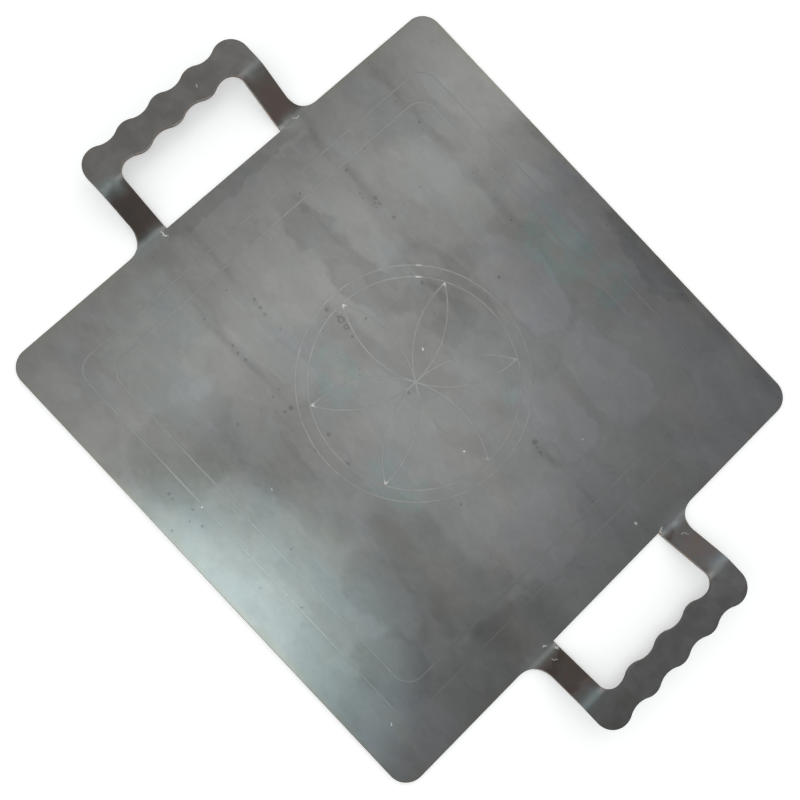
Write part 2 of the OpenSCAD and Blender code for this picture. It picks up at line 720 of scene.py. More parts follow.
class Fold:
    """Bends the flat sheet up along its handles."""

    def __init__(self, sizes: SheetSizes) -> None:
        """Works out the side view of an arm.

        Args:
            sizes: sizes of the sheet.
        """
        self.sizes = sizes
        self.middle_r = sizes.bend_r + sizes.thickness / 2
        self.bend = self.middle_r * math.sin(sizes.slope)
        self.run = sizes.grip_x - sizes.edge_x

    def __call__(self, x: float, y: float, z: float) -> Vector:
        """Folds one point.

        Args:
            x: place along X in the flat sheet.
            y: place along Y.
            z: height above the underside of the flat sheet.

        Returns:
            Where the point goes.
        """
        half = self.sizes.thickness / 2
        along = min(max(abs(x) - self.sizes.edge_x, 0.0), self.run)
        rest = self.run - along
        if along <= self.bend:
            turn = math.asin(along / self.middle_r)
            height = half + self.middle_r * (1 - math.cos(turn))
        elif rest <= self.bend:
            turn = math.asin(rest / self.middle_r)
            height = half + self.sizes.rise - self.middle_r * (1 - math.cos(turn))
        else:
            turn = self.sizes.slope
            height = (half + self.middle_r * (1 - math.cos(turn))
                      + (along - self.bend) * math.tan(turn))
        out = math.copysign(math.sin(turn), x)
        return Vector((x - (z - half) * out, y, height + (z - half) * math.cos(turn)))


class SheetMesh:
    """Closed mesh of one stretch of the sheet, made from runs of its outline."""

    def __init__(self, sizes: SheetSizes, fold: Fold) -> None:
        """Starts an empty mesh.

        Args:
            sizes: sizes of the sheet.
            fold: what bends it.
        """
        self.sizes = sizes
        self.fold = fold
        self.mesh = bmesh.new()
        self.profile = self._profile()
        self.runs: list[list[list[bmesh.types.BMVert]]] = []

    def _profile(self) -> list[tuple[float, float]]:
        """Inset and height of the points across the eased rim, from the underside up."""
        s = self.sizes
        turns = [i / s.rim_steps * math.pi / 2 for i in range(s.rim_steps + 1)]
        lower = [(s.rim_r * (1 - math.sin(a)), s.rim_r * (1 - math.cos(a))) for a in turns]
        upper = [(inset, s.thickness - height) for inset, height in reversed(lower)]
        flat = s.rim_r + s.rim_flat
        return [(flat, 0.0), *lower, *upper, (flat, s.thickness)]

    def add_run(self, points: Sequence[RimPoint]) -> None:
        """Adds a run of rim; the runs go round the piece in order.

        Args:
            points: points of the outline.
        """
        columns = []
        for p in points:
            columns.append([
                self.mesh.verts.new(self.fold(p.x + inset * p.in_x, p.y + inset * p.in_y, height))
                for inset, height in self.profile])
        last = len(self.profile) - 2
        kinds = {0: Face.SCALE, last // 2: Face.CUT, last: Face.SCALE}
        for near, far in zip(columns, columns[1:]):
            for k in range(last + 1):
                self._face([near[k], far[k], far[k + 1], near[k + 1]], kinds.get(k, Face.RIM))
        self.runs.append(columns)

    def _face(self, corners: Sequence[bmesh.types.BMVert], kind: Face) -> None:
        """Adds one smooth face."""
        face = self.mesh.faces.new(corners)
        face.material_index = kind.value
        face.smooth = True

    def finish(self, name: str, strips: bool) -> bpy.types.Object:
        """Closes the mesh and makes it an object.

        Args:
            name: name of the piece.
            strips: True where two equal runs face each other along bends, so that the faces
                between them are strips and not one face.

        Returns:
            The piece.
        """
        for run, following in zip(self.runs, [*self.runs[1:], self.runs[0]]):
            last, first = run[-1], following[0]
            self._face(last, Face.SCALE)
            self._face([last[0], last[-1], first[-1], first[0]], Face.SCALE)
            self._face(first, Face.SCALE)
        for k in (0, -1):
            if strips:
                across = list(zip(self.runs[0], reversed(self.runs[1])))
                for (a, b), (c, d) in zip(across, across[1:]):
                    self._face([a[k], b[k], d[k], c[k]], Face.SCALE)
            else:
                self._face([column[k] for run in self.runs for column in run], Face.SCALE)
        bmesh.ops.recalc_face_normals(self.mesh, faces=self.mesh.faces[:])
        mesh = bpy.data.meshes.new(name)
        self.mesh.to_mesh(mesh)
        self.mesh.free()
        piece = bpy.data.objects.new(name, mesh)
        bpy.context.scene.collection.objects.link(piece)
        return piece


def ease_shading(piece: bpy.types.Object, crisp: Sequence[int] = (),
                 limit: float = math.radians(25.0)) -> None:
    """Shades a piece smooth across small turns and sharp across large ones.

    Args:
        piece: finished mesh.
        crisp: places of the finishes that have a sharp border all round.
        limit: smallest turn that is sharp.
    """
    piece.data.polygons.foreach_set("use_smooth", [True] * len(piece.data.polygons))
    piece.data.set_sharp_from_angle(angle=limit)
    mesh = bmesh.new()
    mesh.from_mesh(piece.data)
    for edge in mesh.edges:
        finishes = {face.material_index for face in edge.link_faces}
        if len(finishes) > 1 and finishes & set(crisp):
            edge.smooth = False
    mesh.to_mesh(piece.data)
    mesh.free()


def hand_over(piece: bpy.types.Object, node: str) -> None:
    """Puts a piece in the frame in place of its solid.

    Args:
        piece: finished piece.
        node: solid that it stands for.
    """
    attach(piece, "root")
    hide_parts(node)
    LOG.info("%s: %d faces, stands for %s", piece.name, len(piece.data.polygons), node)


@dataclass(frozen=True)
class Scrape:
    """Bright scrape left on the top of the sheet, at a place in plan."""

    x: float
    y: float
    length: float
    width: float
    turn: float


@dataclass(frozen=True)
class StainAndPaintedLight:
    """Patch on the scale, lying along X, with a tide line towards its right end; the list holds
    dried patches, painted shade and painted light.

    tone is how much lighter it is than the scale around it, tide how dark its tide line is, and
    cast how strong its tint is.
    """

    x: float
    y: float
    length: float
    width: float
    tone: float = 0.0
    tide: float = 0.0
    tint: Tint = Tint.PLAIN
    cast: float = 0.0


@dataclass(frozen=True)
class Pock:
    """Dark spot in the scale, or the dark ring of a dried drop."""

    x: float
    y: float
    radius: float
    hollow: bool = False


@dataclass(frozen=True)
class Streak:
    """Dark, speckled band along X that the rolling left."""

    y: float
    start: float
    stop: float
    width: float
    depth: float = 0.12


@dataclass(frozen=True)
class MillScale:
    """Hot-rolled skin of the sheet: cloudy grey, streaked along X, browner and, as painted shade,
    darker on the arms, with a painted highlight along the bends and patches of painted shade and
    painted light.
    """

    sizes: SheetSizes
    marks: tuple[Scrape, ...]
    stains_and_painted_light: tuple[StainAndPaintedLight, ...]
    streaks: tuple[Streak, ...]
    pocks: tuple[Pock, ...]
    plate: Colour = (0.170, 0.174, 0.171)
    # The two arm colours are brown oxide, made darker than the plate as painted shade of the tilted
    # arms
    arm: Colour = (0.105, 0.093, 0.083)
    heated_and_shaded: Colour = (0.112, 0.089, 0.080)
    grip: Colour = (0.126, 0.123, 0.119)
    # Painted highlight along the bends: teal, and dimmer on the right handle
    grip_pale: Colour = (0.139, 0.139, 0.135)
    painted_bend_highlight: Colour = (0.165, 0.195, 0.190)
    painted_bend_highlight_right: Colour = (0.108, 0.124, 0.124)
    warm: Colour = (1.012, 0.992, 0.980)
    cool: Colour = (0.988, 0.995, 1.02)
    bright: Colour = (0.60, 0.60, 0.58)
    soot: Colour = (0.035, 0.036, 0.036)
    clouds: tuple[tuple[float, float, float], ...] = (
        (50.0 * MM, 0.03, 0.06), (28.0 * MM, 0.025, 0.05), (13.0 * MM, 0.04, 0.035))
    roughness: float = 0.11
    metallic: float = 0.85
    cloud_tone: float = 0.16
    band_tone: float = 0.07
    grain_tone: float = 0.16
    cloud_roughness: float = 0.06
    grain_roughness: float = 0.04
    rolled_roughness: float = 0.25
    rubbed_roughness: float = 0.26
    streak_fade: float = 14.0 * MM
    speck_strength: float = 0.5
    pock_strength: float = 0.37
    light_speck_strength: float = 0.7
    mark_strength: float = 0.8
    wave_depth: float = 0.07 * MM
    skin_depth: float = 0.003 * MM

    def material(self) -> bpy.types.Material:
        """Builds the finish.

        Returns:
            The material.
        """
        made, shop, shader = FinishShop.finish("mill_scale")
        place = shop.place()
        x, _, _ = shop.axes(place)
        cloud = shop.noise(place, (0.060, 0.040, 0.040), 4.0, 0.55, 0.5)
        band = shop.noise(place, (0.20, 0.010, 0.010), 2.0, 0.5, 0.3, 3.1)
        hue = shop.noise(place, (0.050, 0.030, 0.030), 4.0, 0.55, 0.4, 13.0)
        grain = shop.noise(place, (5.0 * MM, 2.5 * MM, 2.5 * MM), 3.0, 0.6, 0.0, 7.7)
        rolled = self._rolled(shop, place)
        patches, casts = self._stained_and_painted_light(shop, place)
        ground, rubbed = self._ground(shop, place)
        tone = (1.0 + self.cloud_tone * (cloud - 0.5) + self.band_tone * (band - 0.5)
                + self.grain_tone * (grain - 0.5) + self._clouded(shop, place) + patches - rolled)
        colour = shop.mix(1.0, ground, shop.grey(tone), "MULTIPLY")
        cast = shop.mix((hue + 0.6 * x).rise(0.42, 0.60), self.warm, self.cool)
        colour = shop.mix(1.0, colour, cast, "MULTIPLY")
        for tint, mask in casts.items():
            colour = shop.mix(mask, colour, shop.mix(1.0, colour, tint.value, "MULTIPLY"))
        worn = self._marked(shop, place)
        colour = self._flecked(shop, place, colour, rolled)
        colour = shop.mix(self.mark_strength * worn, colour, self.bright)
        roughness = (self.roughness + self.cloud_roughness * (cloud - 0.5)
                     + self.grain_roughness * (grain - 0.5)
                     + self.rolled_roughness * rolled + self.rubbed_roughness * rubbed)
        shader.inputs["Metallic"].default_value = self.metallic
        shop.link(shader, {"Base Color": colour, "Roughness": roughness,
                           "Normal": self._normal(shop, place, grain)})
        return made

    def _clouded(self, shop: FinishShop, place: Sock) -> Sock:
        """Tone of the cloudy patches, small ones on large ones, which have clear outlines."""
        tone: Any = 0.0
        for turn, (size, edge, depth) in enumerate(self.clouds):
            field = shop.noise(place, (1.4 * size, size, size), 3.0, 0.5, 0.25, 21.0 * turn)
            tone = depth * (field.rise(0.5 - edge, 0.5 + edge) - 0.5) + tone
        return tone

    def _ground(self, shop: FinishShop, place: Sock) -> tuple[Sock, Sock]:
        """Colour of the plate, the arms and the grips, with the arms partly darkened as painted
        shade and a painted teal highlight along the bends, and where the bends are rubbed.
        """
        s = self.sizes
        x, y, _ = shop.axes(place)
        reach = abs(x)
        on_arm = reach.rise(s.edge_x + 1.0 * MM, s.edge_x + 8.0 * MM)
        on_grip = reach.rise(s.grip_x - 11.0 * MM, s.grip_x - 2.0 * MM)
        patch = shop.noise(place, (9.0 * MM, 9.0 * MM, 9.0 * MM), 2.0, 0.5, 0.2, 31.0)
        uneven, blotched = patch.rise(0.20, 0.55), patch.rise(0.40, 0.60)
        # The arms get brown oxide, darkened further as painted shade
        ground = shop.mix(on_arm, self.plate, shop.mix(blotched, self.arm, self.heated_and_shaded))
        ground = shop.mix(on_grip, ground, shop.mix(blotched, self.grip, self.grip_pale))
        # Painted highlight: a teal band along the upper and lower bends, stronger on the front arms
        # and dimmer on the right
        upper = reach.near(s.grip_x - 4.0 * MM, 10.0 * MM)
        lower = reach.near(s.edge_x + 1.0 * MM, 9.0 * MM)
        lower = lower * abs(y).rise(s.root_half + 2.0 * MM, s.root_half - 8.0 * MM)
        width = abs(y).rise(s.opening_half, s.opening_half + 6.0 * MM)
        painted_bend_highlight = shop.mix(x.rise(-0.1, 0.1), self.painted_bend_highlight, self.painted_bend_highlight_right)
        bend_highlight_mask = upper.either(0.5 * lower) * uneven * width * y.rise(0.12, -0.03)
        return shop.mix(bend_highlight_mask, ground, painted_bend_highlight), upper.either(lower) * width

    def _stained_and_painted_light(self, shop: FinishShop, place: Sock) -> tuple[Sock, dict[Tint, Sock]]:
        """Tone of the dried patches and of the painted shade and painted light, and where each tint
        lies.
        """
        x, y, _ = shop.axes(shop.wander(place, 26.0 * MM, 30.0 * MM))
        field = shop.noise(place, (14.0 * MM, 10.0 * MM, 10.0 * MM), 3.0, 0.55, 0.3, 8.8)
        blotch, patchy = field.rise(0.15, 0.60), field.rise(0.28, 0.60)
        tone: Any = 0.0
        casts: dict[Tint, Sock] = {}
        for stain_and_light in self.stains_and_painted_light:
            u = (x - stain_and_light.x) / (stain_and_light.length / 2)
            v = (y - stain_and_light.y) / (stain_and_light.width / 2)
            reach = abs(u) ** 3.0 + abs(v) ** 3.0
            inside = reach.rise(1.40, 0.60)
            tone = stain_and_light.tone * inside + tone
            if stain_and_light.tide:
                tone = tone - stain_and_light.tide * (reach.near(1.0, 0.35) * u.rise(-1.0, 0.4) * blotch)
            if stain_and_light.cast:
                mask = stain_and_light.cast * inside * patchy
                casts[stain_and_light.tint] = mask.either(casts.get(stain_and_light.tint, 0.0))
        casts[Tint.BROWN] = self._heated(shop, place)
        return tone, casts

    def _heated(self, shop: FinishShop, place: Sock) -> Sock:
        """Where the heat of the cut has browned the scale, next to the plate's edges."""
        s = self.sizes
        x, y, _ = shop.axes(place)
        blotch = shop.noise(place, (24.0 * MM, 24.0 * MM, 24.0 * MM), 2.0, 0.5, 0.3, 31.0)
        near, close = s.edge_x - 5.0 * MM, s.edge_x - 1.0 * MM
        side = abs(x).rise(near, close) * abs(y).rise(s.root_half, s.root_half + 8.0 * MM)
        return blotch.rise(0.25, 0.55) * side.either(abs(y).rise(near, close))

    def _rolled(self, shop: FinishShop, place: Sock) -> Sock:
        """Darkness of the bands that the rolling left."""
        x, y, _ = shop.axes(shop.wander(place, 30.0 * MM, 12.0 * MM))
        broken = shop.noise(place, (22.0 * MM, 7.0 * MM, 7.0 * MM), 2.0, 0.5, 0.2, 5.5)
        fade = self.streak_fade
        dark: Any = 0.0
        for streak in self.streaks:
            across = abs(y - streak.y).rise(streak.width / 2, 0.0)
            along = x.rise(streak.start - fade, streak.start + fade)
            along = along * x.rise(streak.stop + fade, streak.stop - fade)
            dark = streak.depth * across * along + dark
        return dark * broken.rise(0.34, 0.62)

    def _flecked(self, shop: FinishShop, place: Sock, colour: Sock, rolled: Sock) -> Sock:
        """Dark specks, most of them in the rolled bands, and a few bright ones."""
        crowded = shop.specks(place, 3.6 * MM, 0.9 * MM, 0.6, 9.0) * rolled.rise(0.004, 0.03)
        sparse = shop.specks(place, 15.0 * MM, 0.9 * MM, 0.16, 2.0)
        light = shop.specks(place, 24.0 * MM, 0.55 * MM, 0.06, 5.0)
        colour = shop.mix(self.speck_strength * crowded.either(sparse), colour, self.soot)
        colour = shop.mix(self.pock_strength * self._pocked(shop, place), colour, self.soot)
        return shop.mix(self.light_speck_strength * light, colour, self.bright)

    def _pocked(self, shop: FinishShop, place: Sock) -> Sock:
        """Where the dark spots and rings lie."""
        x, y, _ = shop.axes(shop.wander(place, 2.2 * MM, 2.4 * MM))
        dark: Any = 0.0
        for pock in self.pocks:
            u, v = (x - pock.x) / pock.radius, (y - pock.y) / pock.radius
            out = (u * u + v * v) ** 0.5
            dark = (out.near(0.8, 0.5) if pock.hollow else out.rise(1.05, 0.35)).either(dark)
        return dark

    def _marked(self, shop: FinishShop, place: Sock) -> Sock:
        """Where the bright scrapes lie."""
        x, y, _ = shop.axes(shop.wander(place, 3.0 * MM, 5.0 * MM))
        _, _, z = shop.axes(place)
        worn: Any = 0.0
        for mark in self.marks:
            c, s = math.cos(mark.turn), math.sin(mark.turn)
            along = abs(c * (x - mark.x) + s * (y - mark.y))
            across = abs(c * (y - mark.y) - s * (x - mark.x))
            inside = along.rise(mark.length / 2, mark.length / 4) * across.rise(mark.width / 2, 0.0)
            worn = inside.either(worn)
        return worn * z.rise(0.5 * self.sizes.thickness, 0.8 * self.sizes.thickness)

    def _normal(self, shop: FinishShop, place: Sock, grain: Sock) -> Sock:
        """Slight waves of the sheet and the grain of its skin."""
        waves = shop.noise(place, (0.10, 0.06, 0.06), 1.0, 0.4, 0.0, 60.0)
        skin = shop.noise(place, (2.2 * MM, 1.6 * MM, 1.6 * MM), 2.0, 0.5, 0.0, 71.0)
        wavy = shop.bump(waves, self.wave_depth)
        return shop.bump(0.6 * skin + 0.4 * grain, self.skin_depth, wavy)


@dataclass(frozen=True)
class CutEdge:
    """Side of the sheet where it was cut: brown oxide with fine lines across the thickness.

    Round the right grip, from a set X on, it is darker.
    """

    name: str = "cut_edge"
    brown: Colour = (0.105, 0.076, 0.060)
    grey: Colour = (0.235, 0.215, 0.200)
    rust: Colour = (0.32, 0.15, 0.07)
    right_grip_dark: Colour = (0.045, 0.042, 0.040)
    right_grip_dark_x: float = 210.0 * MM
    roughness: float = 0.46
    metallic: float = 0.6
    line_depth: float = 0.03 * MM

    def material(self) -> bpy.types.Material:
        """Builds the finish.

        Returns:
            The material.
        """
        made, shop, shader = FinishShop.finish(self.name)
        place = shop.place()
        lines = shop.noise(place, (0.5 * MM, 0.5 * MM, 6.0 * MM), 2.0, 0.5)
        patch = shop.noise(place, (14.0 * MM, 14.0 * MM, 14.0 * MM), 2.0, 0.5, 0.3, 9.0)
        rust = shop.noise(place, (5.0 * MM, 5.0 * MM, 5.0 * MM), 3.0, 0.6, 0.4, 17.0)
        colour = shop.mix((0.5 * lines + 0.7 * patch).rise(0.40, 0.80), self.brown, self.grey)
        colour = shop.mix(0.55 * rust.rise(0.56, 0.70), colour, self.rust)
        x, _, _ = shop.axes(place)
        on_grip = x.rise(self.right_grip_dark_x, self.right_grip_dark_x + 6.0 * MM)
        colour = shop.mix(0.85 * on_grip, colour, self.right_grip_dark)
        shader.inputs["Metallic"].default_value = self.metallic
        shop.link(shader, {"Base Color": colour, "Roughness": self.roughness + 0.2 * (patch - 0.5),
                           "Normal": shop.bump(lines, self.line_depth)})
        return made


@dataclass(frozen=True)
class ScoredLine:
    """Engraved line: lighter steel, with painted light on its sides against the shade in the
    groove, which fades back to scale in places.

    old is its colour where scale fills it, and under where it crosses a dark patch.
    """

    top: float
    depth: float
    bare: Colour = (0.212, 0.218, 0.214)
    dull: Colour = (0.174, 0.178, 0.175)
    # Painted light on the groove's sides, lightening the shade that falls in them
    side: Colour = (0.22, 0.22, 0.215)
    struck: Colour = (0.44, 0.44, 0.43)
    old: Colour = (0.187, 0.191, 0.190)
    under: Colour = (0.152, 0.155, 0.155)
    rosette_r: float = 80.0 * MM
    tip_r: float = 66.5 * MM
    tip_reach: float = 3.0 * MM
    faint_side: tuple[float, float] = (0.866, 0.5)
    start: tuple[float, float] = (-50.0 * MM, 50.5 * MM)
    metallic: float = 0.85
    roughness: float = 0.115

    def material(self) -> bpy.types.Material:
        """Builds the finish.

        Returns:
            The material.
        """
        made, shop, shader = FinishShop.finish("scored_line")
        place = shop.place()
        x, y, z = shop.axes(place)
        out = (x * x + y * y) ** 0.5
        fade = shop.noise(place, (0.03, 0.03, 0.03), 3.0, 0.6, 0.3, 4.0)
        wall_light_mask = z.rise(self.top - 0.9 * self.depth, self.top - 0.6 * self.depth)
        filled = y.rise(0.08, 0.13).either(x.rise(0.13, 0.145))
        filled = filled * out.rise(self.rosette_r, self.rosette_r + 5.0 * MM)
        shaded = x.rise(0.12, 0.13) * abs(y + 0.068).rise(0.048, 0.022)
        begun = 0.8 * self._begun(x, y, out) * fade.rise(0.36, 0.60)
        colour = shop.mix(self._clear(shop, place, out, fade), self.dull, self.bare)
        # Painted light on the sides of the groove
        colour = shop.mix(wall_light_mask, colour, self.side)
        colour = shop.mix(filled, colour, self.old)
        colour = shop.mix(shaded, colour, self.under)
        colour = shop.mix(self._tips(x, y, out).either(begun), colour, self.struck)
        shader.inputs["Metallic"].default_value = self.metallic
        shader.inputs["Roughness"].default_value = self.roughness
        shop.link(shader, {"Base Color": colour})
        return made

    def _clear(self, shop: FinishShop, place: Sock, out: Sock, fade: Sock) -> Sock:
        """Where a line is bare: in places, less in the borders, and always in the middle."""
        broken = shop.noise(place, (4.0 * MM, 4.0 * MM, 4.0 * MM), 2.0, 0.6, 0.0, 12.0)
        clear = fade.rise(0.34, 0.62) * (0.4 + 0.6 * broken.rise(0.30, 0.62))
        clear = clear * out.rise(self.rosette_r + 20.0 * MM, self.rosette_r).either(0.75)
        return clear.either(out.rise(12.0 * MM, 2.0 * MM))

    def _tips(self, x: Sock, y: Sock, out: Sock) -> Sock:
        """Where the tips of the petals are bright, which is less so on the faint side."""
        tip = out.rise(self.tip_r - self.tip_reach, self.tip_r)
        tip = tip * out.rise(self.tip_r + 0.35 * MM, self.tip_r + 0.10 * MM)
        towards = self.faint_side[0] * x + self.faint_side[1] * y
        return tip * (0.2 + 0.6 * towards.rise(40.0 * MM, 20.0 * MM))

    def _begun(self, x: Sock, y: Sock, out: Sock) -> Sock:
        """Where the two circles were begun."""
        along = (x - self.start[0] + (y - self.start[1])) * math.sqrt(0.5)
        begun = abs(along).rise(2.6 * MM, 1.2 * MM)
        begun = begun * out.rise(self.tip_r + 0.3 * MM, self.tip_r + 0.6 * MM)
        begun = begun * x.rise(0.0, -1.0 * MM) * y.rise(0.0, 1.0 * MM)
        return begun * out.rise(self.rosette_r + 1.0 * MM, self.rosette_r)


@dataclass
class EngravedLines:
    """Two border lines, two circles and a six-petal rosette cut into the top of the plate."""

    top: float
    outer_border: float
    scored: bpy.types.Material
    line_d: float
    line_w: float = 1.2 * MM
    border_gap: float = 14.0 * MM
    border_r: float = 12.0 * MM
    ring_r: float = 75.0 * MM
    ring_gap: float = 7.5 * MM
    petal_gap: float = 1.0 * MM
    petals: int = 6
    ring_steps: int = 128
    petal_steps: int = 41
    corner_steps: int = 8
    # The cutter's height, the depth of its middle and its widths, as shares of a line's sizes
    cutter_height: float = 1.2
    cutter_middle: float = 0.4
    cutter_widths: tuple[float, float] = (0.9, 1.02)
    # A little more than the 120 degrees from one tip to another
    petal_sweep: float = math.radians(121.2)
    # Between the border lines and the eased rim
    lines_reach: float = 0.16

    def tree(self) -> GeometryTree:
        """Builds the tree that cuts the lines.

        Returns:
            The tree.
        """
        made = GeometryTree("engraved_lines")
        width = made.given("Line Width", self.line_w)
        depth = made.given("Line Depth", self.line_d)
        top = made.given("Top", self.top)
        ring = made.given("Ring Radius", self.ring_r)
        inner_ring = made.given("Inner Ring Radius", self.ring_r - self.ring_gap)
        petal = made.given("Petal Radius", self.ring_r - self.ring_gap - self.petal_gap)
        petals = made.given("Petals", self.petals)
        border = made.given("Border Side", self.outer_border)
        inner_border = made.given("Inner Border Side", self.outer_border - 2 * self.border_gap)
        border_r = made.given("Border Radius", self.border_r)
        scored = made.given("Scored Steel", self.scored)
        lines = made.get("GeometryNodeJoinGeometry", None, {"Geometry": [
            self._ring(made, ring), self._ring(made, inner_ring), self._petals(made, petal, petals),
            self._border(made, border, border_r), self._border(made, inner_border, border_r)]})
        cutter = self._cutter(made, lines, width, depth, top)
        plate = made.get(
            "GeometryNodeMeshBoolean", {"operation": "DIFFERENCE", "solver": "EXACT"},
            {"Mesh 1": made.inlet.outputs[0], "Mesh 2": cutter, "Self Intersection": True})
        made.end(plate, scored, self._sides_of_lines(made, depth, top))
        return made

    def _ring(self, made: GeometryTree, radius: bpy.types.NodeSocket) -> bpy.types.NodeSocket:
        """Circle round the middle."""
        return made.get("GeometryNodeCurvePrimitiveCircle", {"mode": "RADIUS"},
                        {"Resolution": self.ring_steps, "Radius": radius})

    def _petals(self, made: GeometryTree, radius: bpy.types.NodeSocket,
                count: bpy.types.NodeSocket) -> bpy.types.NodeSocket:
        """Arcs through the middle, each drawn from the tip of a petal and a little too long."""
        arc = made.get(
            "GeometryNodeCurveArc", {"mode": "RADIUS"},
            {"Resolution": self.petal_steps, "Radius": radius,
             "Start Angle": math.pi - self.petal_sweep / 2, "Sweep Angle": self.petal_sweep})
        tips = made.get("GeometryNodeMeshCircle", {"fill_type": "NONE"},
                        {"Vertices": count, "Radius": radius})
        turn = made.maths("MULTIPLY", made.get("GeometryNodeInputIndex"),
                          made.maths("DIVIDE", 2 * math.pi, count))
        rotation = made.get("ShaderNodeCombineXYZ", None, {2: turn})
        arcs = made.get("GeometryNodeInstanceOnPoints", None,
                        {"Points": tips, "Instance": arc, "Rotation": rotation})
        return made.get("GeometryNodeRealizeInstances", None, {"Geometry": arcs})

    def _border(self, made: GeometryTree, side: bpy.types.NodeSocket,
                radius: bpy.types.NodeSocket) -> bpy.types.NodeSocket:
        """Square line with round corners."""
        square = made.get("GeometryNodeCurvePrimitiveQuadrilateral", {"mode": "RECTANGLE"},
                          {"Width": side, "Height": side})
        return made.get("GeometryNodeFilletCurve", {"mode": "POLY"},
                        {"Curve": square, "Count": self.corner_steps, "Radius": radius})

    def _cutter(self, made: GeometryTree, lines: bpy.types.NodeSocket, width: bpy.types.NodeSocket,
                depth: bpy.types.NodeSocket, top: bpy.types.NodeSocket) -> bpy.types.NodeSocket:
        """Sweeps a line's section along the lines, from its floor to a little above the top."""
        middle = made.maths("SUBTRACT", top, made.maths("MULTIPLY", depth, self.cutter_middle))
        offset = made.get("ShaderNodeCombineXYZ", None, {2: middle})
        placed = made.get("GeometryNodeTransform", None, {"Geometry": lines, "Translation": offset})
        upright = made.get("GeometryNodeSetCurveNormal", {"mode": "Z_UP"}, {"Curve": placed})
        section = made.get(
            "GeometryNodeCurvePrimitiveQuadrilateral", {"mode": "TRAPEZOID"},
            {"Height": made.maths("MULTIPLY", depth, self.cutter_height), "Offset": 0.0,
             "Top Width": made.maths("MULTIPLY", width, self.cutter_widths[0]),
             "Bottom Width": made.maths("MULTIPLY", width, self.cutter_widths[1])})
        return made.get("GeometryNodeCurveToMesh", None,
                        {"Curve": upright, "Profile Curve": section, "Fill Caps": True})

    def _sides_of_lines(self, made: GeometryTree, depth: bpy.types.NodeSocket,
                        top: bpy.types.NodeSocket) -> bpy.types.NodeSocket:
        """Faces of the grooves, which lie below the top, above their floor and inside the rim."""
        position = made.get("GeometryNodeInputPosition")
        height = made.get("ShaderNodeSeparateXYZ", None, {0: position}, 2)
        below = made.maths("LESS_THAN", height, made.maths("SUBTRACT", top, 0.01 * MM))
        above = made.maths("GREATER_THAN", height,
                           made.maths("SUBTRACT", top, made.maths("MULTIPLY", depth, 1.1)))
        away = made.get("ShaderNodeVectorMath", {"operation": "ABSOLUTE"}, {0: position})
        far_x = made.get("ShaderNodeSeparateXYZ", None, {0: away}, 0)
        far_y = made.get("ShaderNodeSeparateXYZ", None, {0: away}, 1)
        inside = made.maths("LESS_THAN", made.maths("MAXIMUM", far_x, far_y), self.lines_reach)
        return made.maths("MULTIPLY", made.maths("MULTIPLY", below, above), inside)


@dataclass
class CookingPlate:
    """Square plate with round corners and engraved lines."""

    sizes: SheetSizes
    outline: Outline
    fold: Fold
    border_inset: float = 28.0 * MM
    line_d: float = 0.1 * MM
    node: str = "cooking_plate"
    slot: str = "plate_steel"

    def build(self) -> bpy.types.Object:
        """Builds the blank plate.

        Returns:
            The piece.
        """
        mesh = SheetMesh(self.sizes, self.fold)
        outer, opening = self.outline.plate_outer, self.outline.plate_opening
        mesh.add_run(self._run(outer, Side.LEFT, Side.RIGHT, End.REAR))
        mesh.add_run(self._opening(opening, Side.RIGHT))
        mesh.add_run(self._run(outer, Side.RIGHT, Side.LEFT, End.FRONT))
        mesh.add_run(self._opening(opening, Side.LEFT))
        return mesh.finish("griddle_plate", strips=False)

    @staticmethod
    def _run(outer: Sequence[RimPoint], first: Side, last: Side, end: End) -> list[RimPoint]:
        """Front or rear edge with its two corners."""
        return [*[p.mirrored(first, end) for p in reversed(outer)],
                *[p.mirrored(last, end) for p in outer]]

    @staticmethod
    def _opening(opening: Sequence[RimPoint], side: Side) -> list[RimPoint]:
        """Edge between the two arms of a handle, going round the plate with the runs."""
        start, stop = (End.REAR, End.FRONT) if side is Side.RIGHT else (End.FRONT, End.REAR)
        return [*[p.mirrored(side, start) for p in reversed(opening)],
                *[p.mirrored(side, stop) for p in opening]]

    def dress(self, piece: bpy.types.Object, finishes: Sequence[bpy.types.Material],
              scored: bpy.types.Material) -> None:
        """Cuts the lines and gives the plate its finishes.

        Args:
            piece: blank plate.
            finishes: scale, cut edge and worn rim.
            scored: finish of the lines.
        """
        for finish in finishes:
            piece.data.materials.append(finish)
        side = 2 * (self.sizes.edge_x - self.border_inset)
        EngravedLines(self.sizes.thickness, side, scored, self.line_d).tree().apply(piece)
        ease_shading(piece, crisp=(Face.SCORED.value,))
        hand_over(piece, self.node)


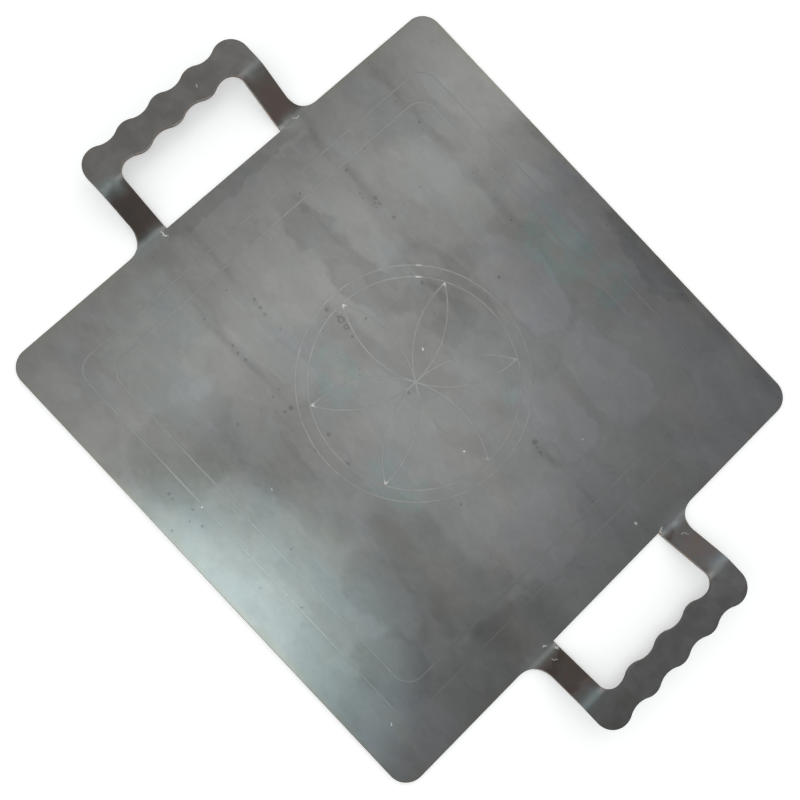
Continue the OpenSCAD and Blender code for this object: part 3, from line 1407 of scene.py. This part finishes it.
@dataclass
class Handle:
    """One handle: two arms that rise from the plate's edge and a level grip between them."""

    side: Side
    sizes: SheetSizes
    outline: Outline
    fold: Fold
    arm_slot: str = "arm_steel"
    grip_slot: str = "grip_steel"

    def build_arm(self, end: End) -> bpy.types.Object:
        """Builds one arm.

        Args:
            end: front or rear arm.

        Returns:
            The piece.
        """
        mesh = SheetMesh(self.sizes, self.fold)
        mesh.add_run([p.mirrored(self.side, end) for p in self.outline.arm_inner])
        mesh.add_run([p.mirrored(self.side, end) for p in reversed(self.outline.arm_outer)])
        return mesh.finish(f"{self._word()}_{end.name.lower()}_folded_arm", strips=True)

    def build_grip(self) -> bpy.types.Object:
        """Builds the grip.

        Returns:
            The piece.
        """
        mesh = SheetMesh(self.sizes, self.fold)
        mesh.add_run(self._across(self.outline.grip_outer, End.FRONT, End.REAR))
        mesh.add_run(self._across(self.outline.grip_inner, End.REAR, End.FRONT))
        return mesh.finish(f"{self._word()}_notched_grip", strips=False)

    def _across(self, half: Sequence[RimPoint], start: End, stop: End) -> list[RimPoint]:
        """Run from one arm to the other, from a half that ends in the middle."""
        return [*[p.mirrored(self.side, start) for p in half],
                *[p.mirrored(self.side, stop) for p in list(reversed(half))[1:]]]

    def _word(self) -> str:
        """Name of the side."""
        return self.side.name.lower()

    def dress(self, piece: bpy.types.Object, finishes: Sequence[bpy.types.Material],
              node: str, slot: str) -> None:
        """Gives an arm or a grip its finishes.

        Args:
            piece: arm or grip.
            finishes: scale, cut edge and worn rim.
            node: solid that it stands for.
            slot: material slot of the record; not used.
        """
        for finish in finishes:
            piece.data.materials.append(finish)
        ease_shading(piece)
        hand_over(piece, node)

    def make(self, finishes: Sequence[bpy.types.Material]) -> None:
        """Builds and dresses the whole handle.

        Args:
            finishes: scale, cut edge and worn rim.
        """
        for end in End:
            node = f"{self._word()}_{end.name.lower()}_arm"
            self.dress(self.build_arm(end), finishes, node, self.arm_slot)
        self.dress(self.build_grip(), finishes, f"{self._word()}_grip", self.grip_slot)


@dataclass(frozen=True)
class SoftLight:
    """Flat lamp that looks at a point and is dimmer and cooler towards its rim.

    rim is the share of its strength that is left at its rim, lean says how far its strongest place
    lies off its middle, as a share of its width, and fall where it starts to be as at the rim and
    as at the middle, as shares of the way out.
    """

    name: str
    place: Point
    aim: Point
    width: float
    depth: float
    radiance: float
    rim: float
    lean: float
    colour: Colour
    rim_colour: Colour
    fall: tuple[float, float] = (0.97, 0.30)

    def hang(self) -> None:
        """Adds the lamp to the scene."""
        data = bpy.data.lights.new(self.name, "AREA")
        data.shape = "ELLIPSE"
        data.size, data.size_y = self.width, self.depth
        data.energy = self.radiance * math.pi * math.pi / 4 * self.width * self.depth
        self._shade(data)
        lamp = bpy.data.objects.new(self.name, data)
        lamp.location = self.place
        way = Vector(self.aim) - Vector(self.place)
        lamp.rotation_euler = way.to_track_quat("-Z", "Y").to_euler()
        lamp.visible_camera = False
        bpy.context.scene.collection.objects.link(lamp)

    def _shade(self, data: bpy.types.AreaLight) -> None:
        """Makes the lamp fall off from its middle to its rim."""
        data.use_nodes = True
        shop = FinishShop(data.node_tree)
        u, v, _ = shop.axes(shop.make("ShaderNodeNewGeometry", out="Parametric"))
        u, v = u - 0.5 - self.lean, v - 0.5
        middle = (2.0 * (u * u + v * v) ** 0.5).rise(*self.fall)
        shop.link(data.node_tree.nodes["Emission"], {
            "Color": shop.mix(middle, self.rim_colour, self.colour),
            "Strength": self.rim + (1.0 - self.rim) * middle})


@dataclass(frozen=True)
class Studio:
    """Floor, light and camera."""

    floor_half: float = 30.0
    floor_colour: Colour = (0.94, 0.94, 0.94)
    floor_lift: float = 0.28
    floor_gap: float = 0.02 * MM
    camera_place: Point = (0.00517, -0.11824, 0.62936)
    camera_aim: Point = (0.00155, -0.01497, 0.003)
    camera_roll: float = math.radians(-46.877)
    camera_lens: float = 45.774
    camera_sensor: float = 36.0
    camera_clip: float = 0.01
    side_left: Colour = (0.93, 0.93, 0.92)
    side_right: Colour = (0.52, 0.52, 0.52)
    far_left: float = 0.7
    strip: Colour = (0.72, 0.74, 0.74)
    strip_x: float = -0.16
    strip_half: float = 0.14
    glow: Colour = (0.86, 0.87, 0.86)
    glow_x: float = 0.03
    glow_y: float = 0.16
    glow_spread_x: float = 0.27
    glow_spread_y: float = 0.30
    horizon: Colour = (1.0, 1.0, 1.0)
    # Where the parts of the sky begin and end, in the direction from the object
    side_band: tuple[float, float] = (-0.4, 0.4)
    far_band: tuple[float, float] = (-0.60, -0.35)
    overhead_band: tuple[float, float] = (0.3, 0.75)
    horizon_band: tuple[float, float] = (0.45, 0.25)
    lamp: SoftLight = SoftLight("lamp", (0.102, -0.391, 1.40), (0.035, -0.202, 0.0), 0.79, 0.665,
                                3.1, 0.22, -0.06, (0.84, 1.0, 1.0), (0.74, 1.0, 1.0))

    def set_up(self) -> None:
        """Builds the floor, the lamp, the world and the camera."""
        self._floor()
        self.lamp.hang()
        self._world()
        self._camera()
        bpy.context.scene.view_settings.view_transform = "Standard"

    def _floor(self) -> None:
        """Pale floor under the plate."""
        h, z = self.floor_half, -self.floor_gap
        mesh = bpy.data.meshes.new("floor")
        mesh.from_pydata([(-h, -h, z), (h, -h, z), (h, h, z), (-h, h, z)], [], [(0, 1, 2, 3)])
        floor = bpy.data.objects.new("floor", mesh)
        paint, shop, shader = FinishShop.finish("floor_paint")
        shader.inputs["Base Color"].default_value = (*self.floor_colour, 1.0)
        shader.inputs["Roughness"].default_value = 1.0
        shader.inputs["Specular IOR Level"].default_value = 0.0
        shader.inputs["Emission Strength"].default_value = self.floor_lift
        shop.link(shader, {"Emission Color": shop.grey(shop.seen())})
        mesh.materials.append(paint)
        bpy.context.scene.collection.objects.link(floor)

    def _world(self) -> None:
        """Even light, stronger from the left, a strip and a glow overhead, and a white horizon."""
        world = bpy.data.worlds.new("studio")
        bpy.context.scene.world = world
        world.use_nodes = True
        shop = FinishShop(world.node_tree)
        x, y, z = shop.axes(shop.make("ShaderNodeTexCoord", out="Generated"))
        u = (x - self.glow_x) / self.glow_spread_x
        v = (y - self.glow_y) / self.glow_spread_y
        above = z.rise(*self.overhead_band)
        far = self.far_left + (1.0 - self.far_left) * x.rise(*self.far_band)
        colour = shop.mix(x.rise(*self.side_band), self.side_left, self.side_right)
        colour = shop.mix(1.0, colour, shop.grey(far), "MULTIPLY")
        colour = shop.mix(above * x.near(self.strip_x, self.strip_half), colour, self.strip, "ADD")
        glow = above * ((u * u + v * v) ** 0.5).rise(1.0, 0.0)
        colour = shop.mix(glow, colour, self.glow, "ADD")
        colour = shop.mix(shop.seen() * z.rise(*self.horizon_band), colour, self.horizon)
        shop.link(world.node_tree.nodes["Background"], {"Color": colour})

    def _camera(self) -> None:
        """Camera at the photograph's place."""
        data = bpy.data.cameras.new("camera")
        data.lens, data.sensor_width = self.camera_lens, self.camera_sensor
        data.clip_start = self.camera_clip
        camera = bpy.data.objects.new("camera", data)
        way = (Vector(self.camera_aim) - Vector(self.camera_place)).normalized()
        right = way.cross(Vector((0.0, 1.0, 0.0))).normalized()
        up = right.cross(way)
        c, s = math.cos(self.camera_roll), math.sin(self.camera_roll)
        right, up = c * right - s * up, c * up + s * right
        turn = Matrix((right, up, -way)).transposed().to_4x4()
        camera.matrix_world = Matrix.Translation(self.camera_place) @ turn
        bpy.context.scene.collection.objects.link(camera)
        bpy.context.scene.camera = camera


# The places and lengths in these lists are in millimetres
MARKS = tuple(Scrape(x * MM, y * MM, length * MM, width * MM, turn)
              for x, y, length, width, turn in (
    (-173.3, -52.1, 6.5, 1.3, 0.3), (-175.2, 61.4, 6, 1.1, 1.4), (173.5, -54.1, 4, 1.4, 1.1),
    (182.7, -55.5, 5, 1.3, 0.9), (179.7, -49.4, 4, 1, 0.4), (174.5, 50.1, 4, 1.8, 1.9),
    (185.6, 58.9, 4, 1, 0.7), (52.2, -7.5, 2.6, 2, 0.0), (-12, 18, 1.3, 1.3, 0.0),
    (98.5, 53, 1.3, 1.3, 0.0), (161, 41.6, 1.8, 1.6, 0.0), (139.8, -154, 1.8, 1.8, 0.0),
    (-224.5, 23.4, 2, 1.6, 0.0), (-12.3, -110, 0.9, 0.9, 0.0), (-33.2, -147.8, 1.5, 0.8, 0.5),
))
STAINS_AND_PAINTED_LIGHT = tuple(StainAndPaintedLight(x * MM, y * MM, length * MM, width * MM, *look)
               for x, y, length, width, *look in (
    (4, 98, 82, 36, 0.09, 0.1, Tint.LILAC, 0.8),
    (82, 96, 74, 40, 0.1, 0.06, Tint.LILAC, 0.8),
    (78, 50, 64, 34, 0.05, 0.07, Tint.LILAC, 0.8),
    (130, 10, 60, 90, 0.0, 0.0, Tint.LILAC, 0.7),
    (-78, 98, 88, 42, 0.07, 0.04, Tint.OLIVE, 0.5),
    (-102, -14, 64, 50, 0.08, 0.05, Tint.OLIVE, 0.7),
    (-80, -53, 88, 20, 0.06, 0.04, Tint.OLIVE, 0.6),
    (-105, 42, 100, 26, -0.01, 0.04, Tint.OLIVE, 0.4),
    (-152, 154, 58, 46, 0.1),
    (-128, 160, 94, 40, 0.09),
    (10, 0, 100, 70, 0.04, 0.03),
    (120, -10, 60, 60, 0.05, 0.08),
    (-30, 42, 66, 28, -0.08, 0.03, Tint.OLIVE, 0.6),
    (-4, 128, 52, 38, 0.0, 0.0, Tint.TEAL, 0.8),
    (43, 138, 26, 24, 0.02, 0.0, Tint.TEAL, 0.75),
    (46, 42, 18, 16, 0.0, 0.0, Tint.TEAL, 0.5),
    (-38, -34, 34, 30, 0.02, 0.0, Tint.TEAL, 0.5),
    (38, -52, 44, 26, 0.02, 0.0, Tint.TEAL, 0.5),
    (-132, -88, 64, 50, 0.05, 0.0, Tint.TEAL, 0.2),
    (-112, -112, 66, 40, 0.06, 0.0, Tint.TEAL, 0.2),
    (98, -68, 120, 42, -0.14, 0.0, Tint.OLIVE, 0.7),
    (-171, 0, 14, 110, -0.14, 0.0, Tint.OLIVE, 0.6),
    (-170, 44, 18, 36, 0.15),
    (45, 169, 80, 20, -0.17, 0.0, Tint.LILAC, 0.8),
    (-40, 45, 10, 240, -0.03),
    # Painted shade: these two rows darken the plate left of and above the lamp's highlight, in
    # place of a darker reflection
    (-64, -130, 56, 70, -0.12, 0.0, Tint.OLIVE, 0.8),
    (-15, -98, 110, 30, -0.08, 0.0, Tint.OLIVE, 0.6),
    (162, -75, 50, 90, -0.14),
    (40, 155, 180, 50, -0.01, 0.0, Tint.LILAC, 0.8),
    (152, 140, 70, 90, 0.1, 0.0, Tint.LILAC, 0.7),
    (148, -150, 60, 50, 0.05, 0.0, Tint.LILAC, 0.8),
    (-90, 20, 105, 26, -0.14),
    (-28, 61, 80, 24, -0.11),
    # Painted shade: these two rows dim the right end of the lamp's highlight
    (82, -104, 66, 34, -0.12),
    (120, -130, 54, 36, -0.14),
    (-24, 142, 62, 30, 0.11),
    # Painted shade on the front arms and painted light on the rear arms, for how brightly each arm
    # reflects; the fourth row is tinted ash-blue
    (-193, -58, 22, 36, -0.16),
    (-194.5, 58, 26, 36, 0.28),
    (192.5, -57, 20, 36, -0.27),
    (195.5, 58, 30, 36, 0.56, 0.0, Tint.ASH, 0.9),
    (224, 12, 40, 120, 0.07),
    (221, 60, 22, 34, 0.22),
    (231, -56, 18, 40, -0.14, 0.0, Tint.OLIVE, 1.0),
))
STREAKS = tuple(Streak(y * MM, start * MM, stop * MM, width * MM, *depth)
                for y, start, stop, width, *depth in (
    (122, -175, -32, 14), (62, -175, -65, 13, 0.15), (29, 70, 140, 10), (26, -175, -95, 12, 0.09),
    (-6, -72, -45, 9, 0.08), (-38, -175, -95, 8), (-42, 115, 175, 14, 0.15), (-68, -175, -35, 8),
    (171, -80, 175, 20, 0.16), (-80, -80, 10, 22, 0.03), (-20, -70, 20, 26, 0.03),
    (42, -60, -5, 22, 0.03),
))
SPOTS = tuple(Pock(x * MM, y * MM, radius * MM) for x, y, radius in (
    (-12.5, 86.5, 1.5), (-89.5, 89.5, 0.9), (-132, 80, 1.2), (-103, 62.5, 2), (-98.5, 62, 1.6),
    (-86, 63, 1.8), (-128.5, 61.5, 1.4), (-43, 47, 1.6), (-47.8, -9.4, 1.3), (-50.4, 4.4, 1.5),
    (-71, -9.9, 1.7), (-13, -62.1, 1.8), (8.2, -65.9, 1.6), (-27.2, -22.6, 1), (-106, -38.5, 1.5),
    (-99.5, -39.5, 1.7), (-94.5, -40, 1.6), (-81, -39.5, 1), (-93.5, -68, 1.2), (-81.5, -68, 1.3),
    (-41, -68, 1.9), (-41.5, -72.5, 1.5), (-53.5, -71.5, 1), (-12, -74.5, 1), (-55.1, -98.5, 1.2),
    (-52.3, -156.7, 1.5), (-35.6, -153.1, 1.2), (-31.6, -159.1, 1.1), (-24.5, -155.5, 1.2),
    (-34.8, -170.2, 1.2), (22.6, -126.6, 1), (79, 29.5, 2.6), (86, 27.5, 1.6), (2.2, -7.7, 1.5),
    (-48.5, -157, 1.2), (26.5, -155.5, 1), (52.5, -145.5, 1),
))
RINGS = tuple(Pock(x * MM, y * MM, radius * MM, hollow=True) for x, y, radius in (
    (-60.3, -7.3, 2.2), (-54.7, -8.1, 1.8),
))


def main() -> None:
    """Builds the pieces in order and reports each one."""
    logging.basicConfig(level=logging.INFO, format="%(name)s: %(message)s")
    Studio().set_up()
    sizes = SheetSizes.from_frame()
    outline, fold = Outline(sizes), Fold(sizes)
    rim = CutEdge("worn_rim", brown=(0.13, 0.10, 0.08), grey=(0.30, 0.275, 0.24),
                  rust=(0.34, 0.18, 0.09))
    scale = MillScale(sizes, MARKS, STAINS_AND_PAINTED_LIGHT, STREAKS, SPOTS + RINGS)
    finishes = (scale.material(), CutEdge().material(), rim.material())
    plate = CookingPlate(sizes, outline, fold)
    plate.dress(plate.build(), finishes, ScoredLine(sizes.thickness, plate.line_d).material())
    for side in Side:
        Handle(side, sizes, outline, fold).make(finishes)


if __name__ == "__main__":
    main()
